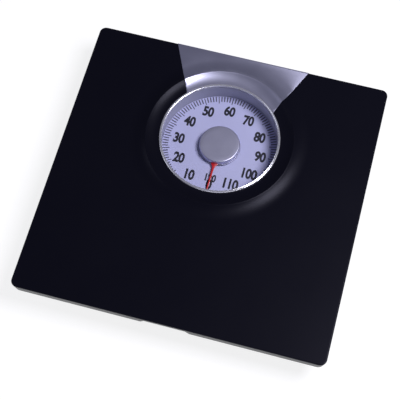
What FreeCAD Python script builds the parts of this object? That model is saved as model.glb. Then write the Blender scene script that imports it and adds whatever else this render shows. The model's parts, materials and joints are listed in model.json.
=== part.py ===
"""Mechanical dial platform scale for weighing a person, 0 to 120 kg.

The frame has its origin on the floor, under the middle of the platform. X runs to the right
along the front edge, Y runs to the back and Z runs up. All sizes are in millimetres.

A platform with the dial's well in it rides on four load posts. The posts press on one long
A-shaped lever and two short levers, whose pull tilts a calibrating plate against the main
spring. A bell crank turns the plate's tilt into the travel of a rack, and the rack turns the
pointer's pinion once round for the full load.
"""
import FreeCAD, Part

import math
import os

Vector = FreeCAD.Vector

# ---------------------------------------------------------------- driving dimensions

# platform
platform_width = 320.0
platform_depth = 310.0
platform_height = 46.0          # floor to the flat of the platform
skirt_height = 14.0
skirt_draft = 1.4               # lean of the skirt over its height
corner_radius = 7.0
edge_radius = 1.3
cover_wall = 2.4
plate_sheet = 1.5               # steel plate under the cover
plate_inset = 10.0              # plate's edge inside the platform's edge
plate_rim = 8.0                 # folded edge of the plate
plate_corner = 10.0

# swell, bezel, lens and well round the dial
dial_back_margin = 5.7          # back edge to the foot of the swell
swell_radius = 94.0
crest_radius = 77.6
crest_rise = 4.0
seat_rise = 0.2                 # bezel seat above the platform's flat
bezel_radius = 63.4
bezel_lip = 2.6                 # width of the bezel seen from above
bezel_rise = 2.0
bezel_seat_width = 1.0
spigot_wall = 0.8
lens_thickness = 1.4
well_ledge = 0.5                # well's top edge under the lens
well_wall = 1.2
well_draft = 1.4                # widening of the well over its depth
well_flange = 9.0
flange_sheet = 1.5

# trim panel behind the dial
trim_front_half = 47.0
trim_back_half = 72.9
trim_front = 42.7               # front corners behind the dial's centre
trim_sheet = 0.5
trim_wrap_gap = 2.0             # end of the wrap above the skirt's lower edge

# thumb notch in the front of the skirt
notch_left = -22.0
notch_right = 20.0
notch_depth = 8.0
notch_slant = 4.0

# dial and pointer
dial_depth = 22.5               # platform's flat to the dial's face
dial_sheet = 0.8
dial_gap = 0.3                  # dial's edge to the well
bridge_sheet = 1.5
bridge_radius = 50.0
dial_post_radius = 3.0
dial_post_ring = 45.0
shaft_radius = 1.5
cap_radius = 21.5
cap_top_drop = 14.0             # platform's flat to the top of the cap
cap_wall = 1.2
cap_round = 1.2
hub_lip = 0.75                  # hub disc past the cap
hub_sheet = 0.8
hub_gap = 2.0                   # dial's face to the hub disc
needle_sheet = 0.8
needle_tip_gap = 4.7            # pointer's tip to the well at the dial
needle_root_half = 4.0
needle_neck_half = 1.15
needle_tip_half = 0.6
needle_flare = 5.0

# base
base_inset_x = 15.0             # tray's wall inside the platform's edge
base_inset_y = 15.0
base_corner = 14.0
base_sheet = 1.2
tray_wall_height = 27.0
foot_height = 6.0
foot_radius = 12.0
bead_half = 6.0
bead_height = 1.0

# levers
pivot_inset_x = 25.0            # lever pivots inside the tray's wall
pivot_inset_y = 22.0
lever_ratio = 59 / 7            # long lever's length to its load arm
platform_travel = 0.8           # at full load
lever_height = 8.0
lever_width = 12.0
lever_sheet = 1.5
lever_floor_gap = 12.8          # tray's floor to the levers
pivot_pin_radius = 2.5
load_pin_radius = 2.0
cheek_half = 4.2                # half width of a bracket's cheek at the pin
cheek_clearance = 0.65          # lever's side to the cheek

# calibrating plate and main spring
nose_arm = 48.0
spring_arm = 59.0
cal_sheet = 2.0
cal_half_back = 16.0
cal_half_front = 9.0
cal_pin_radius = 2.0
spring_wire = 2.0
spring_mean_radius = 6.5
spring_turns = 4.0
spring_pitch = 2.1
plug_slack = 1.5                # lower plug inside the coils, room for the tilt

# zero adjuster
wheel_radius = 17.5
wheel_height = 4.0
wheel_grooves = 36
screw_radius = 2.5
screw_pitch = 0.8
bracket_sheet = 1.5
bracket_half = 15.0
shelf_rise = 1.7                # bracket's shelf above the tray's edge

# bell crank and rack
crank_arm = 58.0                # plate's pivot to the crank's toe
toe_length = 9.8
tip_length = 21.3
crank_sheet = 2.0
crank_cheek_gap = 5.0           # crank's left face to its bracket
toe_radius = 2.0
tip_radius = 1.8
crank_pin_radius = 1.5
crank_left = 23.5
gear_module = 0.5
pinion_teeth = 11
backlash = 0.2
rack_sheet = 1.5
rack_width = 6.0
rack_front_width = 4.9

# fastenings
screw_core = 1.5                # plate's screws in the cover's bosses
screw_washer = 7.5
boss_radius = 4.0
boss_height = 5.6
well_screw_core = 1.1
well_screw_pad = 2.6
rivet_radius = 1.5
rivet_head = 2.5
foot_rivet_radius = 2.0
cheek_sheet = 1.5               # sheet of the brackets on the tray's floor

# dial's bearings and the hub
bush_radius = 4.0
bearing_cup_radius = 5.0
guide_wall = 12.0               # rack guide's rivet from the pointer's shaft
hub_boss_radius = 5.0
needle_root = 7.2               # inner end of the pointer's root
stud_radius = 1.2               # crank's stud in the rack's fork
finger_radius = 1.8             # long lever's finger on the calibrating plate

# clearances
slip = 0.1                      # radial, ring in opening and lens in ring
running = 0.05                  # radial, pin in bore
touch_gap = 0.3                 # between curved faces of pieces that move apart
shake = 0.5                     # loose hole round a post or boss

# ---------------------------------------------------------------- derived places

floor_z = foot_height + base_sheet
skirt_bottom = platform_height - skirt_height
dial_y = platform_depth / 2 - dial_back_margin - swell_radius
dial_z = platform_height - dial_depth
tray_half_x = platform_width / 2 - base_inset_x
tray_half_y = platform_depth / 2 - base_inset_y
tray_top = foot_height + tray_wall_height
pivot_x = tray_half_x - pivot_inset_x
pivot_y = tray_half_y - pivot_inset_y
lever_bottom = floor_z + lever_floor_gap
lever_top = lever_bottom + lever_height
pivot_z = lever_bottom + lever_height / 2
nose_y = -pivot_y
load_arm = 2 * pivot_y / lever_ratio
arm_slope = pivot_x / (2 * pivot_y)
cheek_gap = 2 * (lever_width / 2 * math.hypot(1, arm_slope) + cheek_half * arm_slope
                 + cheek_clearance)
load_x = pivot_x - arm_slope * load_arm
load_y = pivot_y - load_arm
meet_x = pivot_x / 2
plate_top = platform_height - cover_wall
lever_angle = platform_travel / load_arm
nose_drop = lever_angle * 2 * pivot_y
cal_angle = nose_drop / nose_arm
cal_pivot_y = nose_y + nose_arm
cal_pivot_z = floor_z + 3.3
spring_y = cal_pivot_y - spring_arm
opening_radius = bezel_radius - bezel_seat_width
spigot_inner = opening_radius - slip - spigot_wall
lens_radius = spigot_inner - slip
lip_radius = bezel_radius - bezel_lip
lens_bottom = platform_height + seat_rise - 0.2 - lens_thickness
well_top_radius = lens_radius - well_ledge
well_bottom = dial_z - 2.0
bridge_top = dial_z - dial_sheet
bridge_bottom = bridge_top - bridge_sheet
pitch_radius = gear_module * pinion_teeth / 2
rack_travel = 2 * math.pi * pitch_radius
crank_swing = cal_angle * crank_arm / toe_length
crank_rest = crank_swing / 2
crank_y = cal_pivot_y - crank_arm + toe_length * math.cos(crank_rest) - 0.8
crank_z = (cal_pivot_z + crank_arm * math.sin(cal_angle) + cal_sheet / 2
           + touch_gap + toe_radius - toe_length * math.sin(crank_rest))
tip_y = crank_y + tip_length * math.sin(crank_rest)
tip_z = crank_z + tip_length * math.cos(crank_rest)
screw_bracket_top = tray_top + shelf_rise
wheel_bottom = screw_bracket_top + touch_gap
hub_z = dial_z + hub_gap
needle_z = hub_z + hub_sheet
cap_bottom = needle_z + needle_sheet
cap_top = platform_height - cap_top_drop
rack_low = bridge_bottom - 4.0
pinion_low = rack_low - 0.8
pinion_high = rack_low + rack_sheet + 0.8
boss_bottom = plate_top - boss_height
flange_top = platform_height + seat_rise - cover_wall
bracket_rivet_reach = foot_radius + rivet_head + 0.5
crank_cheek = crank_left + crank_cheek_gap
crank_rivet_x = crank_cheek + 8.5
cal_rivet_x = cal_half_back + 9.0
spring_low = (cal_pivot_z + spring_arm * math.sin(cal_angle) + cal_sheet / 2
              + 1.0 + spring_wire / 2)
dial_radius = (well_top_radius - dial_gap
               + well_draft * (lens_bottom - dial_z) / (lens_bottom - well_bottom))
needle_reach = dial_radius - needle_tip_gap


# ---------------------------------------------------------------- shapes used throughout

def box(x, y, z):
    """Box between a pair of limits along each axis."""
    return Part.makeBox(x[1] - x[0], y[1] - y[0], z[1] - z[0], Vector(x[0], y[0], z[0]))


def disc(radius, z, x=0.0, y=0.0):
    """Upright cylinder between two levels."""
    return Part.makeCylinder(radius, z[1] - z[0], Vector(x, y, z[0]))


def ring(outer, inner, z, x=0.0, y=0.0):
    """Upright tube between two levels."""
    return disc(outer, z, x, y).cut(disc(inner, z, x, y))


def cross_pin(radius, x, y, z):
    """Cylinder along X between two limits."""
    return Part.makeCylinder(radius, x[1] - x[0], Vector(x[0], y, z), Vector(1, 0, 0))


def prism(points, direction):
    """Solid swept from a closed polygon along a direction."""
    outline = Part.makePolygon(points + [points[0]])
    return Part.Face(outline).extrude(direction)


def plan_prism(points, z):
    """Upright prism from an outline seen from above."""
    return prism([Vector(x, y, z[0]) for x, y in points], Vector(0, 0, z[1] - z[0]))


def side_prism(points, x):
    """Prism along X from an outline in Y and Z."""
    return prism([Vector(x[0], y, z) for y, z in points], Vector(x[1] - x[0], 0, 0))


def front_prism(points, y):
    """Prism along Y from an outline in X and Z."""
    return prism([Vector(x, y[0], z) for x, z in points], Vector(0, y[1] - y[0], 0))


def join(shapes):
    """One solid from shapes that share faces or overlap."""
    result = shapes[0]
    for shape in shapes[1:]:
        result = result.fuse(shape)
    return result.removeSplitter()


def cut_all(shape, tools):
    """Shape with each tool taken away."""
    for tool in tools:
        shape = shape.cut(tool)
    return shape


def group(shapes):
    """Separate solids kept in one node."""
    return Part.makeCompound(shapes)


def rounded_outline(half_x, half_y, radius, z):
    """Closed wire of a rectangle with round corners."""
    edges = []
    corners = [(1, 1, 0), (-1, 1, 90), (-1, -1, 180), (1, -1, 270)]
    for sign_x, sign_y, start in corners:
        centre = Vector(sign_x * (half_x - radius), sign_y * (half_y - radius), z)
        circle = Part.Circle(centre, Vector(0, 0, 1), radius)
        arc = Part.ArcOfCircle(circle, math.radians(start), math.radians(start + 90))
        edges.append(arc.toShape())
    wire = []
    for index, arc in enumerate(edges):
        following = edges[(index + 1) % 4]
        wire.append(arc)
        wire.append(Part.makeLine(arc.lastVertex().Point, following.firstVertex().Point))
    return Part.Wire(wire)


def rounded_block(half_x, half_y, radius, z):
    """Upright block with round corners."""
    outline = rounded_outline(half_x, half_y, radius, z[0])
    return Part.Face(outline).extrude(Vector(0, 0, z[1] - z[0]))


def spun(edges):
    """Solid of revolution about the dial's axis, from edges in radius and height."""
    face = Part.Face(Part.Wire(edges))
    solid = face.revolve(Vector(0, 0, 0), Vector(0, 0, 1), 360)
    solid.translate(Vector(0, dial_y, 0))
    return solid


def rim_point(radius, z):
    """Point of a turned profile."""
    return Vector(radius, 0, z)


def line(start, end):
    """Straight edge of a turned profile."""
    return Part.makeLine(rim_point(*start), rim_point(*end))


def outline_lines(points):
    """Straight edges through the points of a turned profile, closed."""
    return [line(a, b) for a, b in zip(points, points[1:] + points[:1])]


def flare(foot, crest):
    """Arc that leaves the foot level and rises to the crest."""
    run = abs(crest[0] - foot[0])
    rise = crest[1] - foot[1]
    radius = (run ** 2 + rise ** 2) / (2 * rise)
    half_turn = math.asin(run / radius) / 2
    side = 1 if crest[0] > foot[0] else -1
    middle = (foot[0] + side * radius * math.sin(half_turn),
              foot[1] + radius * (1 - math.cos(half_turn)))
    return Part.Arc(rim_point(*foot), rim_point(*middle), rim_point(*crest)).toShape()


# ---------------------------------------------------------------- platform

def platform_form(offset, bottom):
    """The platform's outer form grown by an offset, solid down to a level."""
    lean = skirt_draft * (platform_height - bottom) / skirt_height
    top = platform_height + offset
    half_x = platform_width / 2 + offset
    half_y = platform_depth / 2 + offset
    lower = rounded_outline(half_x - lean, half_y - lean, corner_radius + offset, bottom)
    upper = rounded_outline(half_x, half_y, corner_radius + offset, top)
    block = Part.makeLoft([lower, upper], True, True)
    top_round = edge_radius + offset
    if top_round > 0.2:
        rim = [edge for edge in block.Edges if edge.BoundBox.ZMin > top - 0.01]
        block = block.makeFillet(top_round, rim)
    block = block.cut(disc(swell_radius, (bottom - 1, top + 1), 0, dial_y))
    seat = top + seat_rise
    profile = [line((opening_radius, bottom), (opening_radius, seat)),
               line((opening_radius, seat), (bezel_radius, seat)),
               flare((bezel_radius, seat), (crest_radius, top + crest_rise)),
               flare((swell_radius, top), (crest_radius, top + crest_rise)),
               line((swell_radius, top), (swell_radius, bottom)),
               line((swell_radius, bottom), (opening_radius, bottom))]
    return block.fuse(spun(profile)).removeSplitter()


def thumb_notch():
    """Slanted opening in the front of the skirt for reaching the thumbwheel."""
    top = skirt_bottom + notch_depth
    points = [(notch_left - notch_slant, skirt_bottom - 1), (notch_left, top),
              (notch_right, top), (notch_right + notch_slant, skirt_bottom - 1)]
    front = -platform_depth / 2
    return front_prism(points, (front - 1, front + 12))


def cover_screw_places():
    """Centres of the screws that hold the plate to the cover."""
    x = platform_width / 2 - plate_inset - 17
    y = platform_depth / 2 - plate_inset - 17
    return [(side * x, row * y) for side in (-1, 1) for row in (-1, 0, 1)]


def well_screw_places():
    """Centres of the screws that hold the well's flange to the cover."""
    reach = opening_radius + well_flange / 2 + 1
    places = []
    for turn in (30, 150, 270):
        angle = math.radians(turn)
        places.append((reach * math.cos(angle), dial_y + reach * math.sin(angle)))
    return places


def platform_cover():
    """Moulded cover, hollow below, with bosses for the plate's screws."""
    shell = platform_form(0, skirt_bottom).cut(platform_form(-cover_wall, skirt_bottom - 1))
    bosses = [disc(boss_radius, (boss_bottom, plate_top), x, y)
              for x, y in cover_screw_places()]
    pads = [disc(well_screw_pad, (flange_top, flange_top + 0.9), x, y) for x, y in well_screw_places()]
    holes = [disc(screw_core, (boss_bottom - 1, plate_top), x, y)
             for x, y in cover_screw_places()]
    holes += [disc(well_screw_core, (flange_top - 1, flange_top + 1.2), x, y)
              for x, y in well_screw_places()]
    return cut_all(join([shell] + bosses + pads), [thumb_notch()] + holes)


def platform_plate():
    """Steel plate under the cover, its edge folded down."""
    half_x = platform_width / 2 - plate_inset
    half_y = platform_depth / 2 - plate_inset
    block = rounded_block(half_x, half_y, plate_corner, (plate_top - plate_rim, plate_top))
    hollow = rounded_block(half_x - plate_sheet, half_y - plate_sheet,
                           plate_corner - plate_sheet,
                           (plate_top - plate_rim - 1, plate_top - plate_sheet))
    window = disc(crest_radius, (0, platform_height), 0, dial_y)
    holes = [disc(boss_radius + shake, (0, platform_height), x, y)
             for x, y in cover_screw_places()]
    wheel_gap = box((-wheel_radius - 3, wheel_radius + 3), (-half_y - 1, -half_y + 15),
                    (0, plate_top - plate_sheet))
    return cut_all(block, [hollow, window, wheel_gap] + holes)


def cover_screws():
    """Pan-head screws with wide washers, from below into the cover's bosses."""
    screws = []
    for x, y in cover_screw_places():
        washer = disc(screw_washer, (boss_bottom - 1.0, boss_bottom), x, y)
        head = disc(3.2, (boss_bottom - 3.0, boss_bottom - 1.0), x, y)
        shank = disc(screw_core, (boss_bottom, plate_top - 1.5), x, y)
        screws.append(join([washer, head, shank]))
    return group(screws)


def trim_panel():
    """Metal fan behind the dial that follows the swell and wraps over the back edge."""
    skin = platform_form(trim_sheet, skirt_bottom + trim_wrap_gap)
    skin = skin.cut(platform_form(0, skirt_bottom - 1))
    back = platform_depth / 2
    slope = (trim_back_half - trim_front_half) / (back - dial_y - trim_front)
    overrun = 10.0
    inner = dial_y + trim_front - overrun
    points = [(-trim_front_half + slope * overrun, inner),
              (trim_front_half - slope * overrun, inner),
              (trim_back_half + slope * overrun, back + overrun),
              (-trim_back_half - slope * overrun, back + overrun)]
    fan = plan_prism(points, (0, platform_height + 20))
    opening = disc(bezel_radius + 0.05, (0, platform_height + 20), 0, dial_y)
    return skin.common(fan).cut(opening)


def bezel_ring():
    """Turned ring with a rounded crown, an inner lip and a spigot in the cover's opening."""
    seat = platform_height + seat_rise
    crown = platform_height + bezel_rise
    round_size = 0.8
    middle = round_size * (1 - math.sqrt(0.5))
    outer = opening_radius - slip
    corner = Part.Arc(rim_point(bezel_radius, crown - round_size),
                      rim_point(bezel_radius - middle, crown - middle),
                      rim_point(bezel_radius - round_size, crown)).toShape()
    step = lip_radius + 0.7
    points = [(bezel_radius - round_size, crown), (step + 0.3, crown), (step, crown - 0.4),
              (lip_radius + 0.2, crown - 0.5), (lip_radius, crown - 0.8),
              (lip_radius, seat - 0.2), (spigot_inner, seat - 0.2),
              (spigot_inner, lens_bottom), (outer, lens_bottom), (outer, seat),
              (bezel_radius, seat), (bezel_radius, crown - round_size)]
    edges = [line(a, b) for a, b in zip(points, points[1:])]
    return spun(edges + [corner])


def lens():
    """Clear disc held between the bezel's lip and the top of the well."""
    return disc(lens_radius, (lens_bottom, lens_bottom + lens_thickness), 0, dial_y)


def dial_well():
    """Tapered tube down to the dial, with a flange under the cover."""
    low = well_top_radius + well_draft
    top = lens_bottom
    bottom_outer = low + well_wall
    points = [(well_top_radius, top), (low, well_bottom), (bottom_outer, well_bottom),
              (opening_radius - slip, flange_top - flange_sheet),
              (opening_radius + well_flange, flange_top - flange_sheet),
              (opening_radius + well_flange, flange_top),
              (opening_radius - slip, flange_top), (opening_radius - slip, top)]
    well = spun(outline_lines(points))
    holes = [disc(well_screw_core + shake, (0, platform_height), x, y)
             for x, y in well_screw_places()]
    return cut_all(well, holes)


def well_screws():
    """Screws that hold the well's flange to the cover."""
    screws = []
    for x, y in well_screw_places():
        under = flange_top - flange_sheet
        head = disc(2.5, (under - 1.6, under), x, y)
        shank = disc(well_screw_core, (under, flange_top + 1.0), x, y)
        screws.append(join([head, shank]))
    return group(screws)


def load_posts():
    """Four posts under the plate whose notched ends sit over the levers' load pins."""
    posts = []
    notch = (load_pin_radius + touch_gap) * math.sqrt(2)
    for side in (-1, 1):
        for row in (-1, 1):
            x = side * load_x
            y = row * load_y
            flange = box((x - 9, x + 9), (y - 9, y + 9),
                         (plate_top - 2 * plate_sheet, plate_top - plate_sheet))
            stem = box((x - 2.5, x + 2.5), (y - 3, y + 3),
                       (pivot_z - 0.6, plate_top - 2 * plate_sheet))
            wedge = side_prism([(y - 6, pivot_z + notch - 6), (y, pivot_z + notch),
                                (y + 6, pivot_z + notch - 6)], (x - 5, x + 5))
            posts.append(join([flange, stem]).cut(wedge))
    return group(posts)


# ---------------------------------------------------------------- base

def pivot_places():
    """Lever pivots, front ones first. A foot stands under each."""
    return [(side * pivot_x, row * pivot_y) for row in (-1, 1) for side in (-1, 1)]


def dial_post_places():
    """Centres of the posts under the dial's bridge."""
    places = []
    for turn in (45, 135, 225, 315):
        angle = math.radians(turn)
        places.append((dial_post_ring * math.cos(angle),
                       dial_y + dial_post_ring * math.sin(angle)))
    return places


def bracket_rivet_places():
    """Rivets through the feet of all the brackets on the tray's floor."""
    places = []
    for x, y in pivot_places():
        places += [(x, y - bracket_rivet_reach), (x, y + bracket_rivet_reach)]
    places += [(-cal_rivet_x, cal_pivot_y), (cal_rivet_x, cal_pivot_y)]
    places += [(-bracket_half + 3, spring_y - 5), (bracket_half - 3, spring_y - 5)]
    places += [(crank_rivet_x, crank_y - 4), (crank_rivet_x, crank_y + 4)]
    return places


def bead(x, y):
    """Raised bead between two limits in X and Y, and the hollow under it."""
    outer = box((x[0], x[1]), (y[0], y[1]), (floor_z, floor_z + bead_height))
    inner = box((x[0] + base_sheet, x[1] - base_sheet), (y[0] + base_sheet, y[1] - base_sheet),
                (foot_height - 1, floor_z + bead_height - base_sheet))
    rim = [edge for edge in outer.Edges
           if abs(edge.Vertexes[0].Z - edge.Vertexes[1].Z) > 0.5 * bead_height]
    outer = outer.makeFillet(bead_half - 0.5, rim)
    rim = [edge for edge in inner.Edges
           if abs(edge.Vertexes[0].Z - edge.Vertexes[1].Z) > 0.5 * bead_height]
    inner = inner.makeFillet(bead_half - 0.5 - base_sheet, rim)
    return outer, inner


def bead_places():
    """Limits of the stiffening beads in the tray's floor."""
    side = meet_x + 12
    long_end = load_y - 5
    places = [((-side - bead_half, -side + bead_half), (-long_end, long_end)),
              ((side - bead_half, side + bead_half), (-long_end, long_end)),
              ((-meet_x + 5, meet_x - 5), (pivot_y - bead_half - 2, pivot_y + bead_half - 2))]
    return places


def base_tray():
    """Pressed steel tray with a round lower edge and beads in its floor."""
    block = rounded_block(tray_half_x, tray_half_y, base_corner, (foot_height, tray_top))
    low = [edge for edge in block.Edges if edge.BoundBox.ZMax < foot_height + 0.01]
    block = block.makeFillet(base_sheet + 2, low)
    hollow = rounded_block(tray_half_x - base_sheet, tray_half_y - base_sheet,
                           base_corner - base_sheet, (floor_z, tray_top + 1))
    low = [edge for edge in hollow.Edges if edge.BoundBox.ZMax < floor_z + 0.01]
    hollow = hollow.makeFillet(2, low)
    tray = block.cut(hollow)
    beads = [bead(*place) for place in bead_places()]
    tray = cut_all(join([tray] + [outer for outer, inner in beads]),
                   [inner for outer, inner in beads])
    holes = [disc(rivet_radius, (0, tray_top), x, y) for x, y in bracket_rivet_places()]
    holes += [disc(foot_rivet_radius, (0, tray_top), x, y) for x, y in pivot_places()]
    holes += [disc(1.5, (0, tray_top), x, y) for x, y in dial_post_places()]
    return cut_all(tray, holes)


def foot(x, y):
    """Rubber foot with a recess for its rivet."""
    pad = disc(foot_radius, (0, foot_height), x, y)
    low = [edge for edge in pad.Edges if edge.BoundBox.ZMax < 0.01]
    pad = pad.makeFillet(1.5, low)
    recess = disc(5.0, (-1, 2.5), x, y)
    return cut_all(pad, [recess, disc(foot_rivet_radius, (0, foot_height), x, y)])


def foot_rivets():
    """Rivets that hold the feet and the pivot brackets to the tray."""
    rivets = []
    for x, y in pivot_places():
        top = floor_z + cheek_sheet
        rivets.append(join([disc(4.0, (1.3, 2.5), x, y), disc(foot_rivet_radius, (2.5, top), x, y),
                            disc(3.5, (top, top + 1.0), x, y)]))
    return group(rivets)


def bracket_rivets():
    """Rivets that hold the brackets to the tray."""
    rivets = []
    top = floor_z + cheek_sheet
    for x, y in bracket_rivet_places():
        rivets.append(join([disc(rivet_head, (foot_height - 1.0, foot_height), x, y),
                            disc(rivet_radius, (foot_height, top), x, y),
                            disc(rivet_head, (top, top + 0.9), x, y)]))
    return group(rivets)


def pivot_bracket(x, y):
    """Folded bracket: a foot on the tray's floor and two cheeks that hold a pivot pin."""
    inner = cheek_gap / 2
    reach = bracket_rivet_reach + rivet_head
    foot_plate = box((x - inner - cheek_sheet, x + inner + cheek_sheet),
                     (y - reach, y + reach), (floor_z, floor_z + cheek_sheet))
    cheeks = []
    for side in (-1, 1):
        limits = sorted((x + side * inner, x + side * (inner + cheek_sheet)))
        waist = lever_bottom - 2
        points = [(y - 9, floor_z), (y + 9, floor_z), (y + cheek_half, waist),
                  (y + cheek_half, pivot_z + 4), (y - cheek_half, pivot_z + 4),
                  (y - cheek_half, waist)]
        cheeks.append(side_prism(points, limits))
    bracket = join([foot_plate] + cheeks)
    holes = [disc(rivet_radius, (0, floor_z + 5), x, y + row * bracket_rivet_reach)
             for row in (-1, 1)]
    holes += [disc(foot_rivet_radius, (0, floor_z + 5), x, y),
              cross_pin(pivot_pin_radius, (x - 20, x + 20), y, pivot_z)]
    return cut_all(bracket, holes)


def pivot_pins():
    """Pins that the levers turn on."""
    half = cheek_gap / 2 + cheek_sheet + 1.0
    return group([cross_pin(pivot_pin_radius, (x - half, x + half), y, pivot_z)
                  for x, y in pivot_places()])


def screw_bracket():
    """C-shaped bracket at the front: feet, a web and the shelf that the thumbwheel sits on."""
    front = -tray_half_y + base_sheet + 0.2
    web = box((-bracket_half, bracket_half), (front, front + bracket_sheet),
              (floor_z, screw_bracket_top))
    shelf = box((-bracket_half, bracket_half), (front, spring_y + 8),
                (screw_bracket_top - bracket_sheet, screw_bracket_top))
    parts = [web, shelf]
    for side in (-1, 1):
        feet = sorted((side * bracket_half, side * (bracket_half - 6.5)))
        parts.append(box(feet, (front, spring_y + 4), (floor_z, floor_z + cheek_sheet)))
        edge = sorted((side * bracket_half, side * (bracket_half - bracket_sheet)))
        points = [(front, screw_bracket_top - 12), (front, screw_bracket_top),
                  (spring_y + 6, screw_bracket_top), (spring_y + 6, screw_bracket_top - 3)]
        parts.append(side_prism(points, edge))
    bend = side_prism([(front - 1, floor_z + 3.2), (front - 1, floor_z - 1),
                       (front + 3.2, floor_z - 1)], (-40, 40))
    holes = [bend, disc(screw_radius + touch_gap, (floor_z + 5, 50), 0, spring_y)]
    holes += [disc(rivet_radius, (0, floor_z + 5), side * (bracket_half - 3), spring_y - 5)
              for side in (-1, 1)]
    return cut_all(join(parts), holes)


def cal_bracket():
    """Hinge bracket of the calibrating plate, a foot each side with an upright cheek."""
    parts = []
    for side in (-1, 1):
        inner = side * (cal_half_back + 1.5)
        cheek = sorted((inner, inner + side * cheek_sheet))
        parts.append(box(cheek, (cal_pivot_y - 6, cal_pivot_y + 6),
                         (floor_z, cal_pivot_z + 3.5)))
        feet = sorted((inner, inner + side * 12))
        parts.append(box(feet, (cal_pivot_y - 6, cal_pivot_y + 6),
                         (floor_z, floor_z + cheek_sheet)))
    sides = [join(parts[:2]), join(parts[2:])]
    hole = cross_pin(cal_pin_radius, (-60, 60), cal_pivot_y, cal_pivot_z)
    rivets = [disc(rivet_radius, (0, floor_z + 5), side * cal_rivet_x, cal_pivot_y)
              for side in (-1, 1)]
    return group([cut_all(piece, [hole] + rivets) for piece in sides])


def cal_pin():
    """Pin of the calibrating plate's hinge."""
    half = cal_half_back + 1.5 + cheek_sheet + 0.8
    return cross_pin(cal_pin_radius, (-half, half), cal_pivot_y, cal_pivot_z)


def crank_bracket():
    """Upright cheek beside the bell crank, on a foot."""
    cheek = box((crank_cheek, crank_cheek + cheek_sheet), (crank_y - 8, crank_y + 8),
                (floor_z, crank_z + 5))
    feet = box((crank_cheek, crank_cheek + 13), (crank_y - 8, crank_y + 8),
               (floor_z, floor_z + cheek_sheet))
    holes = [cross_pin(crank_pin_radius, (0, 60), crank_y, crank_z)]
    holes += [disc(rivet_radius, (0, floor_z + 5), crank_rivet_x, crank_y + offset)
              for offset in (-4, 4)]
    return cut_all(join([cheek, feet]), holes)


def crank_pin():
    """Pin with a head that keeps the crank on it, and a collar against the cheek."""
    pin = cross_pin(crank_pin_radius, (crank_left - 1.2, crank_cheek + cheek_sheet + 0.8),
                    crank_y, crank_z)
    head = cross_pin(2.6, (crank_left - 1.2, crank_left - 0.2), crank_y, crank_z)
    collar = cross_pin(2.6, (crank_left + crank_sheet + 0.2, crank_cheek), crank_y, crank_z)
    return join([pin, head, collar])


def dial_bridge():
    """Plate on four turned posts that carries the dial above the levers."""
    plate = disc(bridge_radius, (bridge_bottom, bridge_top), 0, dial_y)
    window = ring(bridge_radius - 12, 16, (0, platform_height), 0, dial_y)
    spokes = [box((-bridge_radius, bridge_radius), (dial_y - 9, dial_y + 9),
                  (bridge_bottom, bridge_top)),
              box((-9, 9), (dial_y - bridge_radius + 6, dial_y + bridge_radius - 6),
                  (bridge_bottom, bridge_top))]
    spokes = [spoke.common(plate) for spoke in spokes]
    bridge = join([plate.cut(window)] + spokes)
    holes = [disc(1.5, (0, platform_height), x, y) for x, y in dial_post_places()]
    holes.append(disc(bush_radius - 1.0, (0, platform_height), 0, dial_y))
    holes.append(disc(1.0, (0, platform_height), guide_wall, dial_y))
    return cut_all(bridge, holes)


def dial_posts():
    """Turned posts riveted through the tray and the bridge."""
    posts = []
    for x, y in dial_post_places():
        posts.append(join([disc(dial_post_radius, (floor_z, bridge_bottom), x, y),
                           disc(1.5, (foot_height - 1.0, floor_z), x, y),
                           disc(3.0, (foot_height - 1.0, foot_height), x, y),
                           disc(1.5, (bridge_bottom, bridge_top), x, y)]))
    return group(posts)


def dial_plate():
    """Printed disc at the bottom of the well."""
    plate = disc(dial_radius, (bridge_top, dial_z), 0, dial_y)
    holes = [disc(bush_radius + 0.1, (0, platform_height), 0, dial_y)]
    holes += [disc(1.0, (0, platform_height), 0, dial_y + offset)
              for offset in (-12, 12)]
    return cut_all(plate, holes)


def dial_screws():
    """Two flat screws under the hub disc that hold the dial to the bridge."""
    screws = []
    for offset in (-12, 12):
        y = dial_y + offset
        screws.append(join([disc(2.0, (dial_z, dial_z + 0.8), 0, y),
                            disc(1.0, (bridge_top, dial_z), 0, y)]))
    return group(screws)


def shaft_bush():
    """Flanged upper bearing of the pointer's shaft."""
    body = join([disc(bush_radius, (bridge_top, dial_z + 1.2), 0, dial_y),
                 disc(bush_radius - 1.0, (bridge_bottom - 0.8, bridge_top), 0, dial_y)])
    return body.cut(disc(shaft_radius + running, (0, platform_height), 0, dial_y))


def foot_bearing():
    """Cup on the tray's floor in which the shaft's lower end turns."""
    cup = join([disc(bearing_cup_radius, (floor_z, floor_z + 4), 0, dial_y),
                disc(bearing_cup_radius + 3, (floor_z, floor_z + 1), 0, dial_y)])
    return cup.cut(disc(shaft_radius + running, (floor_z + 1.5, 50), 0, dial_y))


def rack_guide():
    """C-shaped guide under the bridge that keeps the rack against the pinion."""
    back = pitch_radius + rack_width + touch_gap
    shelf_z = rack_low - touch_gap
    roof_z = rack_low + rack_sheet + touch_gap
    y = (dial_y - 8, dial_y + 8)
    wall = box((back, guide_wall + 3), y, (shelf_z - 1.5, bridge_bottom))
    shelf = box((pitch_radius + 3, back + 1), y, (shelf_z - 1.5, shelf_z))
    roof = box((pitch_radius + 3, back + 1), y, (roof_z, bridge_bottom))
    rivet = disc(1.0, (bridge_bottom - 1, bridge_top), guide_wall, dial_y)
    return join([wall, shelf, roof, rivet])


# ---------------------------------------------------------------- levers

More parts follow.
